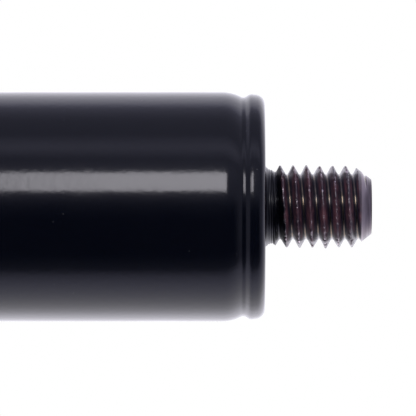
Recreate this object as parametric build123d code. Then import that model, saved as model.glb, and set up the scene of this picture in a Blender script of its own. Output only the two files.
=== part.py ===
from build123d import *
from math import cos, pi, radians, sin, tan
import os

# Gas strut stay: a sealed pressure tube with a piston rod that slides and turns in it.
# The strut lies along X and is drawn fully extended. The origin is the centre of the seat
# face at the closed end: that end's stud points to +X, and the rod leaves towards -X.
# Millimetres, +Z up.

# Overall sizes
tube_d = 22.0               # outside of the pressure tube
tube_wall = 1.5
rod_d = 10.0
stroke = 100.0
rod_left_out = 4.0          # rod still outside when the strut is fully compressed
compressed_space = 4.6      # rod's tail to end plug when fully compressed

# Threaded studs, M8 x 1.25 rolled, one at each end
thread_d = 7.9
thread_root_d = 6.2
thread_pitch = 1.25
thread_flank = 30.0         # degrees, each side of the groove
thread_root_flat = 0.16
thread_groove_x = 0.875     # a groove's middle on the +Z side, past the seat
flank_steps = 8             # spans of the curve that a flank is drawn with
stud_length = 10.3
stud_neck_d = 7.1
stud_neck_length = 0.95
stud_lead_in = 0.45         # the first thread rises from the neck over this length
stud_root_fillet = 0.5
stud_tip_d = 5.4
stud_tip_bevel = 1.8

# Rolled tube ends: a groove pressed into the tube, then a lip closed over the rim
lip_width = 1.2
lip_drop = 0.2
lip_corner = 0.9
lip_reach = 0.85            # how far the lip closes inside the tube's bore
lip_bevel = 0.95
groove_drop = 0.5
groove_near = 1.7           # floor of the groove, measured from the tube's end
groove_far = 2.15
groove_end = 3.25
groove_rise = 0.35          # length of the steep side inside the tube
lip_blend = 0.35
groove_blend_near = 0.25
groove_blend_far = 0.5
tube_blend = 1.2

# Clearances on each side
press_gap = 0.04            # pieces pressed or rolled into place
running_gap = 0.03          # rod in its liner, piston ring in the tube
lip_gap = 0.02              # seals and wiper to what they touch
washer_gap = 0.35           # washers to the rod
stop_gap = 0.2              # rebound ring to the gland when fully extended

# End plug and static seals
plug_length = 10.0
plug_bevel = 0.6
o_ring_section = 1.6
o_ring_groove = 2.2
plug_o_ring_at = 6.3        # middle of its groove, from the tube's end
guide_o_ring_at = 10.4

# Gland, from the rod end's face inwards
cap_thickness = 1.2
cap_step = 0.4              # cap washer's pocket, wider than the wiper's on each side
wiper_section = 2.0
wiper_length = 3.5
wiper_heel = 1.6
felt_section = 1.5
felt_length = 2.5
liner_wall = 1.0
liner_length = 6.5
backup_length = 1.2
seal_section = 2.8
seal_length = 4.4
seal_heel = 1.7
seal_mouth = 1.1            # width of the seal's open side at its mouth
seal_washer_thickness = 1.2
seal_washer_step = 0.3
seal_port_d = 1.2
seal_port_count = 6

# Piston rod
rod_bevel = 0.3
tail_d = 6.0
tail_overhang = 1.0         # tail past the nut
tail_bevel = 0.5
rebound_length = 3.0
rebound_section = 2.2
rebound_seat = 0.5          # depth of its groove in the rod
rebound_land = 0.6          # rod between that groove and the shoulder

# Piston and what is clamped with it
front_thickness = 1.2
front_d = 16.4
hub_wall = 2.4
disc_thickness = 0.8
disc_lift = 0.8
disc_d = 16.8
disc_gap = 0.1
metering_hole_d = 0.8
piston_length = 8.0
piston_gap = 0.2            # piston to tube on each side
piston_bevel = 0.4
piston_ring_width = 2.6
piston_ring_side_gap = 0.05
piston_ring_section = 1.35
piston_ring_back_gap = 0.1
piston_ring_split = 0.5
piston_ring_at = 2.7        # from the piston's face to its ring groove
port_circle_d = 13.2
port_d = 1.6
port_count = 6
port_trench = 1.9
port_trench_depth = 0.5
rear_thickness = 1.0
rear_d = 11.6
nut_flats = 10.0
nut_height = 4.0

# Radii, and places measured from the tube's rod end, that follow from those sizes
tube_r = tube_d / 2
bore_r = tube_r - tube_wall
rod_r = rod_d / 2
tail_r = tail_d / 2
hub_r = tail_r + hub_wall
wiper_at = cap_thickness
felt_at = wiper_at + wiper_length
liner_at = felt_at + felt_length
backup_at = liner_at + liner_length
seal_at = backup_at + backup_length
seal_washer_at = seal_at + seal_length
guide_length = seal_washer_at + seal_washer_thickness
rebound_at = guide_length + stop_gap
shoulder_at = rebound_at + rebound_length + rebound_land
hub_at = shoulder_at + front_thickness
piston_at = hub_at + disc_thickness + disc_lift
rear_at = piston_at + piston_length
nut_at = rear_at + rear_thickness
tail_at = nut_at + nut_height + tail_overhang
tube_length = tail_at + stroke + compressed_space + plug_length
rod_seat_at = -(stroke + rod_left_out)


def turned(outline):
    """Solid of revolution about X from (x, radius) or (x, radius, corner radius) points."""
    points = [point[:2] for point in outline]
    corners = [point[2] if len(point) > 2 else 0 for point in outline]
    edge = FilletPolyline(*points, radius=corners, close=True)
    return revolve(Plane.XZ * make_face(edge), Axis.X)


def from_closed_end(outline):
    """Places a (depth, radius) outline whose depths are measured into the closed end."""
    return [(-depth, *rest) for depth, *rest in outline]


def from_rod_end(outline):
    """Places a (depth, radius) outline whose depths are measured into the rod end."""
    return [(depth - tube_length, *rest) for depth, *rest in outline]


def sleeve(at, length, inner_r, outer_r):
    """Plain ring about X, placed from the tube's rod end."""
    return turned(from_rod_end([
        (at, inner_r), (at, outer_r), (at + length, outer_r), (at + length, inner_r),
    ]))


def drilled(piece, at, length, hole_d, circle_d, count):
    """The piece with holes parallel to X, evenly spaced on a circle."""
    drill = Cylinder(hole_d / 2, length, align=(Align.CENTER, Align.CENTER, Align.MIN))
    places = Plane.YZ.offset(at - tube_length) * PolarLocations(circle_d / 2, count)
    return piece - [place * drill for place in places]


def rolled_outside():
    """Outside of a rolled tube end, as (depth, radius, corner radius)."""
    return [
        (0, tube_r - lip_drop, lip_corner),
        (lip_width, tube_r - lip_drop, lip_blend),
        (groove_near, tube_r - groove_drop, groove_blend_near),
        (groove_far, tube_r - groove_drop, groove_blend_far),
        (groove_end, tube_r, tube_blend),
    ]


def rolled_inside(gap=0):
    """Inside of a rolled tube end, or with a gap the rim of the piece that it grips."""
    return [
        (0, bore_r - lip_reach - gap),
        (lip_bevel, bore_r - lip_drop - gap),
        (groove_near - groove_rise, bore_r - lip_drop - gap),
        (groove_near, bore_r - groove_drop - gap),
        (groove_far, bore_r - groove_drop - gap),
        (groove_end, bore_r - gap),
    ]


def o_ring_notch(middle):
    """Outline of an O-ring groove in a piece that fills the bore, end side first."""
    near, far = middle - o_ring_groove / 2, middle + o_ring_groove / 2
    wall_r = bore_r - press_gap
    floor_r = bore_r - o_ring_section
    return [(near, wall_r), (near, floor_r), (far, floor_r), (far, wall_r)]


def o_ring(x):
    """Ring that fills an O-ring groove from floor to bore."""
    middle_r = bore_r - o_ring_section / 2
    section = Pos(x, middle_r) * Circle(o_ring_section / 2 - lip_gap)
    return revolve(Plane.XZ * section, Axis.X)


def stud_neck():
    """Plain neck of a stud that points to +X, from the seat at x = 0, as an outline."""
    neck_r = stud_neck_d / 2
    return [(0, neck_r, stud_root_fillet), (stud_neck_length, neck_r), (stud_neck_length, 0)]


def on_helix(x, radius):
    """Point of the thread's cross-section that its helix carries to x on the section's line."""
    turn = 2 * pi * x / thread_pitch
    return radius * cos(turn), radius * sin(turn)


def flank(x0, radius0, x1, radius1):
    """One flank of the thread as the cross-section cuts it, a short spiral."""
    steps = [step / flank_steps for step in range(flank_steps + 1)]
    return Spline(*[
        on_helix(x0 + (x1 - x0) * step, radius0 + (radius1 - radius0) * step) for step in steps
    ])


def plain_arc(x0, x1, radius):
    """Root or crest of the thread as the cross-section cuts it."""
    middle = on_helix((x0 + x1) / 2, radius)
    return ThreePointArc(on_helix(x0, radius), middle, on_helix(x1, radius))


def thread():
    """Right-hand thread of a stud from its neck to its tip, with a lead-in and a bevelled tip."""
    root_r, crest_r = thread_root_d / 2, thread_d / 2
    rise = (crest_r - root_r) * tan(radians(thread_flank))
    root_from, root_to = -thread_root_flat / 2, thread_root_flat / 2
    crest_from, crest_to = root_to + rise, root_from + thread_pitch - rise
    section = make_face([
        plain_arc(root_from, root_to, root_r),
        flank(root_to, root_r, crest_from, crest_r),
        plain_arc(crest_from, crest_to, crest_r),
        flank(crest_to, crest_r, root_from + thread_pitch, root_r),
    ])
    length = stud_length - stud_neck_length
    turns = 360 * length / thread_pitch
    bar = Solid.extrude_linear_with_rotation(section.face(), (0, 0, 0), (0, 0, length), turns)
    middle_turn = 360 * (stud_neck_length + thread_pitch / 2 - thread_groove_x) / thread_pitch
    bar = Pos(stud_neck_length, 0, 0) * Rot(middle_turn, 0, 0) * Rot(0, 90, 0) * bar
    outer_r = crest_r + stud_tip_bevel
    lead_in = turned([
        (0, stud_neck_d / 2),
        (stud_neck_length, stud_neck_d / 2),
        (stud_neck_length + stud_lead_in, crest_r),
        (stud_neck_length + stud_lead_in, outer_r),
        (0, outer_r),
    ])
    tip_bevel = turned([
        (stud_length - stud_tip_bevel, crest_r),
        (stud_length, stud_tip_d / 2),
        (stud_length + stud_tip_bevel, stud_tip_d / 2),
        (stud_length + stud_tip_bevel, outer_r),
        (stud_length - stud_tip_bevel, outer_r),
    ])
    return bar - lead_in - tip_bevel


def cylinder_tube():
    outside = from_rod_end(rolled_outside()) + from_closed_end(rolled_outside())[::-1]
    inside = from_closed_end(rolled_inside()) + from_rod_end(rolled_inside())[::-1]
    return turned(outside + inside)


def end_plug():
    wall_r = bore_r - press_gap
    body = [
        (plug_length, 0),
        (plug_length, wall_r - plug_bevel),
        (plug_length - plug_bevel, wall_r),
    ]
    rim = rolled_inside(press_gap) + o_ring_notch(plug_o_ring_at)
    return turned(from_closed_end(body + rim[::-1]) + stud_neck()) + thread()


def end_plug_o_ring():
    return o_ring(-plug_o_ring_at)


def cap_washer():
    pocket_r = rod_r + wiper_section + cap_step
    return sleeve(0, cap_thickness, rod_r + washer_gap, pocket_r - press_gap)


def wiper_ring():
    """Pocket ring whose lip leans out along the rod."""
    inner_r, outer_r = rod_r + lip_gap, rod_r + wiper_section - press_gap
    middle_r = (inner_r + outer_r) / 2
    heel = wiper_at + wiper_length - wiper_heel
    return turned(from_rod_end([
        (wiper_at, inner_r),
        (wiper_at + lip_blend, (inner_r + middle_r) / 2),
        (heel, middle_r),
        (heel, outer_r),
        (wiper_at + wiper_length, outer_r),
        (wiper_at + wiper_length, middle_r),
        (wiper_at + lip_blend, inner_r),
    ]))


def grease_felt():
    outer_r = rod_r + felt_section - press_gap
    return sleeve(felt_at, felt_length, rod_r + running_gap, outer_r)


def rod_guide():
    """Gland body: rolled rim and O-ring groove outside, stepped pockets inside."""
    wall_r = bore_r - press_gap
    cap_r = rod_r + wiper_section + cap_step
    wiper_r = rod_r + wiper_section
    felt_r = rod_r + felt_section
    liner_r = rod_r + liner_wall
    seal_r = rod_r + seal_section
    washer_r = seal_r + seal_washer_step
    outside = rolled_inside(press_gap) + o_ring_notch(guide_o_ring_at) + [
        (guide_length - plug_bevel, wall_r),
        (guide_length, wall_r - plug_bevel / 2),
    ]
    inside = [
        (0, cap_r), (wiper_at, cap_r),
        (wiper_at, wiper_r), (felt_at, wiper_r),
        (felt_at, felt_r), (liner_at, felt_r),
        (liner_at, liner_r), (backup_at, liner_r),
        (backup_at, seal_r), (seal_washer_at, seal_r),
        (seal_washer_at, washer_r), (guide_length, washer_r),
    ]
    return turned(from_rod_end(outside + inside[::-1]))


def guide_liner():
    outer_r = rod_r + liner_wall - press_gap
    return sleeve(liner_at, liner_length, rod_r + running_gap, outer_r)


def guide_o_ring():
    return o_ring(guide_o_ring_at - tube_length)


def backup_ring():
    outer_r = rod_r + seal_section - press_gap
    return sleeve(backup_at, backup_length, rod_r + running_gap, outer_r)


def rod_seal():
    """U-shaped lip seal with its open side to the pressure."""
    inner_r, outer_r = rod_r + lip_gap, rod_r + seal_section - press_gap
    middle_r = (inner_r + outer_r) / 2
    mouth = seal_at + seal_length
    return turned(from_rod_end([
        (seal_at, inner_r),
        (seal_at, outer_r),
        (mouth, outer_r),
        (mouth, middle_r + seal_mouth / 2),
        (seal_at + seal_heel, middle_r),
        (mouth, middle_r - seal_mouth / 2),
        (mouth, inner_r),
    ]))


def seal_washer():
    """Washer whose ports let the pressure reach the seal's open side."""
    outer_r = rod_r + seal_section + seal_washer_step - press_gap
    blank = sleeve(seal_washer_at, seal_washer_thickness, rod_r + washer_gap, outer_r)
    circle_d = 2 * rod_r + seal_section
    return drilled(
        blank, seal_washer_at, seal_washer_thickness, seal_port_d, circle_d, seal_port_count,
    )


def piston_rod():
    """Rod with its stud, the rebound ring's groove and the tail that carries the piston."""
    seat_r = rod_r - rebound_seat
    shaft = [
        (tail_at, 0),
        (tail_at, tail_r - tail_bevel),
        (tail_at - tail_bevel, tail_r),
        (shoulder_at, tail_r),
        (shoulder_at, rod_r),
        (rebound_at + rebound_length, rod_r),
        (rebound_at + rebound_length, seat_r),
        (rebound_at, seat_r),
        (rebound_at, rod_r),
        (rod_seat_at + rod_bevel, rod_r),
        (rod_seat_at, rod_r - rod_bevel),
    ]
    from_seat = [(rod_seat_at - at, radius) for at, radius in shaft]
    rod = turned(from_seat + stud_neck()) + thread()
    return Pos(rod_seat_at - tube_length, 0, 0) * Rot(0, 0, 180) * rod


def rebound_ring():
    seat_r = rod_r - rebound_seat
    inner_r = seat_r + lip_gap
    return sleeve(rebound_at, rebound_length, inner_r, seat_r + rebound_section)


def front_washer():
    return sleeve(shoulder_at, front_thickness, tail_r + press_gap, front_d / 2)


def check_disc():
    """Floating disc over the piston's ports, with the metering hole through it."""
    blank = sleeve(piston_at - disc_thickness, disc_thickness, hub_r + disc_gap, disc_d / 2)
    return drilled(
        blank, piston_at - disc_thickness, disc_thickness, metering_hole_d, port_circle_d, 1,
    )


def piston():
    """Piston with the hub that the check disc floats on, its ring groove and its ports."""
    wall_r = bore_r - piston_gap
    ring_near = piston_at + piston_ring_at
    ring_far = ring_near + piston_ring_width + 2 * piston_ring_side_gap
    ring_floor_r = bore_r - running_gap - piston_ring_section - piston_ring_back_gap
    trench_in = port_circle_d / 2 - port_trench / 2
    trench_out = port_circle_d / 2 + port_trench / 2
    trench_floor = piston_at + port_trench_depth
    blank = turned(from_rod_end([
        (hub_at, tail_r + press_gap),
        (hub_at, hub_r),
        (piston_at, hub_r),
        (piston_at, trench_in),
        (trench_floor, trench_in),
        (trench_floor, trench_out),
        (piston_at, trench_out),
        (piston_at, wall_r - piston_bevel),
        (piston_at + piston_bevel, wall_r),
        (ring_near, wall_r),
        (ring_near, ring_floor_r),
        (ring_far, ring_floor_r),
        (ring_far, wall_r),
        (rear_at - piston_bevel, wall_r),
        (rear_at, wall_r - piston_bevel),
        (rear_at, tail_r + press_gap),
    ]))
    return drilled(blank, piston_at, piston_length, port_d, port_circle_d, port_count)


def piston_ring():
    """Split ring that rides in the piston's groove."""
    outer_r = bore_r - running_gap
    at = piston_at + piston_ring_at + piston_ring_side_gap
    ring = sleeve(at, piston_ring_width, outer_r - piston_ring_section, outer_r)
    split = Box(piston_ring_width, piston_ring_split, bore_r,
                align=(Align.MIN, Align.CENTER, Align.MIN))
    return ring - Pos(at - tube_length, 0, 0) * split


def rear_washer():
    return sleeve(rear_at, rear_thickness, tail_r + press_gap, rear_d / 2)


def piston_nut():
    """Hexagon nut with turned corners."""
    corner_r = nut_flats / 2 / cos(radians(30))
    crown_r = nut_flats / 2
    crown_x = (corner_r - crown_r) * tan(radians(30))
    hexagon = Plane.YZ.offset(nut_at - tube_length) * RegularPolygon(
        nut_flats / 2, 6, major_radius=False)
    crown = turned(from_rod_end([
        (nut_at, tail_r + press_gap),
        (nut_at, corner_r),
        (nut_at + nut_height - crown_x, corner_r),
        (nut_at + nut_height, crown_r),
        (nut_at + nut_height, tail_r + press_gap),
    ]))
    return extrude(hexagon, nut_height) & crown


os.makedirs("parts", exist_ok=True)
for make in (
    cylinder_tube, end_plug, end_plug_o_ring,
    cap_washer, wiper_ring, grease_felt, rod_guide, guide_liner, guide_o_ring,
    backup_ring, rod_seal, seal_washer,
    piston_rod, rebound_ring, front_washer, check_disc, piston, piston_ring,
    rear_washer, piston_nut,
):
    export_step(make(), f"parts/{make.__name__}.step")
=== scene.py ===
from math import atan2, cos, pi, radians, sin, sqrt, tan

import bmesh
import bpy
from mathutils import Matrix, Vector, noise


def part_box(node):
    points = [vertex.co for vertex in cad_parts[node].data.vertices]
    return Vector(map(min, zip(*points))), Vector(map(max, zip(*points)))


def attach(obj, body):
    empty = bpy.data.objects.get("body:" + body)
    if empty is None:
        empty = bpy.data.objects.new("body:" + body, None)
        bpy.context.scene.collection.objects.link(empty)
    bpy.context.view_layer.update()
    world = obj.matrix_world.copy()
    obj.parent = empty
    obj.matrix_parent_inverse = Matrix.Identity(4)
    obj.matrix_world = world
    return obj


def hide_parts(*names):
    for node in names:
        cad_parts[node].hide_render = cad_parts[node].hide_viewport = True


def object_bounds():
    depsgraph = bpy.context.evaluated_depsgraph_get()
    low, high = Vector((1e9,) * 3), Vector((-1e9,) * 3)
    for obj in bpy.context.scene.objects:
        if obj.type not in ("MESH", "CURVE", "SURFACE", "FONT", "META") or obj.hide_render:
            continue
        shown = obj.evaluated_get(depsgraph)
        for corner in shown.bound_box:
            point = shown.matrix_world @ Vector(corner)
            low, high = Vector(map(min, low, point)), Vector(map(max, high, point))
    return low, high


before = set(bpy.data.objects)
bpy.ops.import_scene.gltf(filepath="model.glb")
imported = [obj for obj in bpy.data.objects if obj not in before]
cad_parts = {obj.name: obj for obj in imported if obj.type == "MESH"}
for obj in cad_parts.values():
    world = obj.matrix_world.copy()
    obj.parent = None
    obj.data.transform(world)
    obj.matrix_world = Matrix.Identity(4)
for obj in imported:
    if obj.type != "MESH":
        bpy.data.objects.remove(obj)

cad_low, cad_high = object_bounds()

# Gas strut stay. The strut lies along X, closed end at x = 0, rod towards -X.
# The strut's sizes are in millimetres, and a mesh becomes metres when it is made.
MM = 0.001

# Places taken from the frame
tube_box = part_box("cylinder_tube")
plug_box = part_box("end_plug")
rod_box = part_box("piston_rod")
rebound_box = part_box("rebound_ring")
washer_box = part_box("front_washer")
tube_r = tube_box[1].z / MM
tube_length = -tube_box[0].x / MM
plug_length = -plug_box[0].x / MM
stud_length = plug_box[1].x / MM
rod_r = rod_box[1].z / MM
rod_seat_x = rod_box[0].x / MM + stud_length
rebound_x = (rebound_box[0].x / MM, rebound_box[1].x / MM)
shoulder_x = washer_box[0].x / MM
tail_x = rod_box[1].x / MM

# Tube and its rolled ends
tube_wall = 1.5
lip_corner = 0.9            # corner between the end face and the lip's outside
lip_front_drop = 0.36       # how far below the tube's outside the lip lies at its front
lip_crest_at = 1.37
lip_crest_drop = 0.16
lip_crest_arc = 0.62
groove_at = 2.01
groove_drop = 0.57
groove_arc = 0.5
groove_end = 3.14
groove_end_arc = 4.0
lip_reach = 0.85            # how far the lip closes inside the tube's bore
lip_bevel = 0.95
lip_inner_corner = 0.16
lip_inner_drop = 0.2
inner_groove_drop = 0.5
inner_groove_rise = 0.35
inner_groove = (1.7, 2.15, 3.25)
roller_waver = 0.004        # unevenness that the rolling leaves in lip and groove
roller_waver_size = 1.6
roller_waver_fade = 0.8     # over this length the unevenness dies away past the groove
roller_waver_r = (9.4, 10.0)    # none inside the first radius, all of it outside the second

# Plug and rod
press_gap = 0.04
plug_bevel = 0.6
o_ring_section = 1.6
o_ring_groove = 2.2
o_ring_at = 6.3
face_corner = 0.14
rod_bevel = 0.3
rebound_seat = 0.5
shoulder_corner = 0.1
tail_r = 3.0
tail_bevel = 0.5

# Stud with its rolled thread
pitch = 1.25
flank = radians(60)         # between a flank and the stud's axis
crest_r = 3.92
root_r = 3.13
crest_arc = 0.11
root_arc = pitch * sin(flank) - (crest_r - root_r) - crest_arc
root_half = root_arc * sin(flank)
crest_half = crest_arc * sin(flank)
groove_x = 0.875            # middle of a groove on the +Z side, past the seat
neck_r = 3.52
neck_flare = 0.75
neck_ring_height = 0.022
neck_ring_spacing = 0.21
neck_ring_start = 0.3       # over this length the neck's rings grow to their full height
neck_length = 0.8
neck_blend = 0.2            # length over which the neck turns into the run-in
lead_in_length = 0.55
lead_in_rise = 0.02
first_groove_from = 1.12
first_groove_to = 1.4
first_groove_extra = 0.1    # how far the first groove may lie below the other roots
tip_bevel_r = 3.24          # radius of the tip's bevel at tip_bevel_x
tip_bevel_x = 9.45
tip_bevel_slope = 0.78
tip_face_r = 2.5            # inside this radius the tip is its flat end face
tip_corner = 0.12
tip_dome = 0.05
nick_level = 0.22           # noise below this leaves no nick
nick_growth = 0.3           # depth of a nick for each unit of noise above that level
nick_size = 0.24
thread_waver = 0.12
thread_waver_size = 0.9
damage_from = 0.375         # share of the thread's height where nicks and waver begin
run_out_from = 8.9          # where the thread sinks into the tip's bevel
run_out_length = 0.5
run_out_depth = 0.15
paint_edge_x = 1.43         # nearest that the paint's ragged edge comes to the seat, halfway up
paint_edge_lean = 0.33
paint_edge_ragged = 0.7
paint_edge_soft = 0.06

# Fineness of the meshes
arc_steps = 7
tube_columns = 288
longest_span = 4.0
stud_columns = 288
stud_rows_per_pitch = 34
rod_columns = 192
rod_rows_per_pitch = 22
neck_rows = 24
tip_corner_steps = 4
tip_face_rings = (0.8, 0.5, 0.25, 0.0)      # shares of the end face's radius
merge_distance = 1e-3
shortest_edge = 1e-4
no_length = 1e-6
sharp_angle = radians(38)


# ---------------------------------------------------------------- shapes

def rounded(outline):
    """Closed or open outline of (x, radius) or (x, radius, corner radius), corners as arcs."""
    smooth = []
    for index, point in enumerate(outline):
        here = Vector(point[:2])
        if len(point) < 3:
            smooth.append(here)
            continue
        before = Vector(outline[index - 1][:2])
        after = Vector(outline[(index + 1) % len(outline)][:2])
        to_before = (before - here).normalized()
        to_after = (after - here).normalized()
        half = to_before.angle(to_after) / 2
        reach = to_before * point[2] / tan(half)
        centre = here + (to_before + to_after).normalized() * point[2] / sin(half)
        start = here + reach - centre
        end = here + to_after * point[2] / tan(half) - centre
        start_angle = atan2(start.y, start.x)
        sweep = (atan2(end.y, end.x) - start_angle + pi) % (2 * pi) - pi
        for step in range(arc_steps + 1):
            angle = start_angle + sweep * step / arc_steps
            smooth.append(centre + Vector((cos(angle), sin(angle))) * point[2])
    return smooth


def spaced(points, longest):
    """Adds points along long straight runs, so that no face is a sliver."""
    filled = []
    for here, after in zip(points, points[1:]):
        parts = max(1, int((after - here).length / longest))
        filled += [here.lerp(after, part / parts) for part in range(parts)]
    return filled + [points[-1]]


def ring_points(x, radius, columns):
    """Points of one ring about X, or the one point where it closes on the axis."""
    if radius < no_length:
        return [Vector((x, 0, 0))]
    turns = [2 * pi * column / columns for column in range(columns)]
    return [Vector((x, radius * cos(turn), radius * sin(turn))) for turn in turns]


def join_rings(rings, closed):
    """Vertices and faces of a skin through rings that follow each other."""
    points, faces, starts = [], [], []
    for ring in rings:
        starts.append(len(points))
        points += ring
    pairs = list(zip(range(len(rings)), range(1, len(rings))))
    if closed:
        pairs.append((len(rings) - 1, 0))
    for first, second in pairs:
        count = max(len(rings[first]), len(rings[second]))
        for column in range(count):
            beside = (column + 1) % count
            if len(rings[first]) == 1:
                corners = (starts[first], starts[second] + column, starts[second] + beside)
            elif len(rings[second]) == 1:
                corners = (starts[first] + column, starts[second], starts[first] + beside)
            else:
                corners = (starts[first] + column, starts[second] + column,
                           starts[second] + beside, starts[first] + beside)
            faces.append(corners)
    return points, faces


def make_piece(name, points, faces):
    """Object in metres from points in millimetres, merged, facing outwards and smooth."""
    mesh = bpy.data.meshes.new(name)
    mesh.from_pydata([tuple(point * MM) for point in points], [], faces)
    shell = bmesh.new()
    shell.from_mesh(mesh)
    bmesh.ops.remove_doubles(shell, verts=shell.verts, dist=merge_distance * MM)
    bmesh.ops.dissolve_degenerate(shell, edges=shell.edges, dist=shortest_edge * MM)
    bmesh.ops.recalc_face_normals(shell, faces=shell.faces)
    shell.to_mesh(mesh)
    shell.free()
    mesh.shade_smooth()
    mesh.set_sharp_from_angle(angle=sharp_angle)
    piece = bpy.data.objects.new(name, mesh)
    bpy.context.scene.collection.objects.link(piece)
    return piece


def smooth_step(value):
    """0 below 0, 1 above 1, and an even curve between."""
    held = min(1.0, max(0.0, value))
    return held * held * (3 - 2 * held)


def thread_radius(x, angle):
    """Rolled thread with rounded roots and crests, angle about +X from +Y."""
    turns = (x - groove_x) / pitch - (angle / (2 * pi) - 0.25)
    from_root = abs(turns - round(turns)) * pitch
    from_crest = pitch / 2 - from_root
    if from_root < root_half:
        return root_r + root_arc - sqrt(root_arc ** 2 - from_root ** 2)
    if from_crest < crest_half:
        return crest_r - crest_arc + sqrt(crest_arc ** 2 - from_crest ** 2)
    root_edge_r = root_r + root_arc * (1 - cos(flank))
    return root_edge_r + (from_root - root_half) * tan(flank)


def neck_radius(x):
    """Neck that flares into the seat, with fine rings under its paint."""
    flare = neck_flare - sqrt(max(0, neck_flare ** 2 - max(0, neck_flare - x) ** 2))
    ring_share = smooth_step(x / neck_ring_start)
    rings = neck_ring_height * sin(2 * pi * x / neck_ring_spacing) * ring_share
    return neck_r + flare + rings


def stud_radius(x, angle):
    """The whole stud's surface: neck, run-in, thread and bevelled tip, with small damage."""
    thread = thread_radius(x, angle)
    spot = Vector((x, cos(angle) * crest_r, sin(angle) * crest_r))
    waver = noise.noise(spot / thread_waver_size) * thread_waver
    nicks = max(0.0, noise.noise(spot / nick_size) - nick_level) * nick_growth
    height_share = (thread - root_r) / (crest_r - root_r)
    damage_share = smooth_step((height_share - damage_from) / (1 - damage_from))
    thread += (waver - nicks) * damage_share
    thread -= run_out_depth * smooth_step((x - run_out_from) / run_out_length)
    neck = neck_radius(x)
    groove_share = smooth_step((x - first_groove_from) / (first_groove_to - first_groove_from))
    floor_r = neck + (root_r - first_groove_extra - neck_r) * groove_share
    lead_in = neck + (crest_r - neck_r) * max(0.0, x - neck_length) / lead_in_length
    body = min(max(thread, floor_r - run_out_depth), lead_in + lead_in_rise)
    body_share = smooth_step((x - neck_length) / neck_blend + 0.5)
    tip = tip_bevel_r - tip_bevel_slope * (x - tip_bevel_x)
    return min(neck + (body - neck) * body_share, tip)


def stud_point(x, angle):
    """Point of the stud's surface at a place along it and an angle round it."""
    radius = stud_radius(x, angle)
    return Vector((x, radius * cos(angle), radius * sin(angle)))


def helix_skin(columns, per_pitch, tip_x):
    """Threaded part of a stud, its rows along the helix, as points and faces."""
    rows = int((stud_length + 2 * pitch) / pitch * per_pitch)
    points, faces = [], []
    for row in range(rows):
        for column in range(columns):
            x = neck_length - pitch + pitch * (row / per_pitch + column / columns)
            x = min(tip_x, max(neck_length, x))
            points.append(stud_point(x, 2 * pi * column / columns))
    for row in range(rows - 1):
        for column in range(columns):
            wraps = column == columns - 1
            beside = row + per_pitch if wraps else row
            if beside + 1 >= rows:
                continue
            next_column = 0 if wraps else column + 1
            corners = (row * columns + column, (row + 1) * columns + column,
                       (beside + 1) * columns + next_column, beside * columns + next_column)
            along = [points[corner].x for corner in corners]
            if max(along) - min(along) > no_length:
                faces.append(corners)
    return points, faces


def tip_skin(columns, tip_x):
    """Rings of a stud's small end corner and of its slightly domed end face."""
    tip_r = stud_radius(tip_x, 0)
    face_r = tip_r - tip_corner
    rings = [ring_points(tip_x, tip_r, columns)]
    for step in range(1, tip_corner_steps + 1):
        turn = pi / 2 * step / tip_corner_steps
        x = tip_x + (tip_corner - tip_dome) * sin(turn)
        rings.append(ring_points(x, tip_r - tip_corner * (1 - cos(turn)), columns))
    for share in tip_face_rings:
        rings.append(ring_points(stud_length - tip_dome * share ** 2, face_r * share, columns))
    return rings


def stud(columns, per_pitch):
    """Skin of a stud from its seat (x = 0) to its tip, as points and faces."""
    tip_x = stud_length - tip_corner
    points, faces = helix_skin(columns, per_pitch, tip_x)
    turns = [2 * pi * column / columns for column in range(columns)]
    neck_x = [neck_length * row / neck_rows for row in range(neck_rows + 1)]
    neck_skin = [[stud_point(x, turn) for turn in turns] for x in neck_x]
    for rings in (neck_skin, tip_skin(columns, tip_x)):
        more_points, more_faces = join_rings(rings, closed=False)
        first = len(points)
        points += more_points
        faces += [tuple(first + corner for corner in corners) for corners in more_faces]
    return points, faces


def with_stud(outline, columns, per_pitch):
    """A turned body that ends at x = 0 in the root of a stud, as points and faces."""
    rings = [ring_points(point.x, point.y, columns) for point in outline]
    points, faces = join_rings(rings, closed=False)
    stud_points, stud_faces = stud(columns, per_pitch)
    first = len(points)
    faces += [tuple(first + corner for corner in corners) for corners in stud_faces]
    return points + stud_points, faces


def rolled_outside():
    """Outside of a rolled tube end, as (depth, radius, corner radius)."""
    return [
        (0, tube_r - lip_front_drop, lip_corner),
        (lip_crest_at, tube_r - lip_crest_drop, lip_crest_arc),
        (groove_at, tube_r - groove_drop, groove_arc),
        (groove_end, tube_r, groove_end_arc),
    ]


def rolled_inside(gap=0):
    """Inside of a rolled tube end, or with a gap the rim of the piece that it grips."""
    bore_r = tube_r - tube_wall - gap
    corner = lip_inner_corner if gap == 0 else face_corner
    near, far, end = inner_groove
    return [
        (0, bore_r - lip_reach, corner),
        (lip_bevel, bore_r - lip_inner_drop),
        (near - inner_groove_rise, bore_r - lip_inner_drop),
        (near, bore_r - inner_groove_drop),
        (far, bore_r - inner_groove_drop),
        (end, bore_r),
    ]


def at_closed_end(outline):
    """Outline along X of an end that was given by its depth."""
    return [(-depth, *rest) for depth, *rest in outline]


def at_rod_end(outline):
    """Outline along X of the same end, mirrored to the tube's other end."""
    return [(depth - tube_length, *rest) for depth, *rest in outline]


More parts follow.
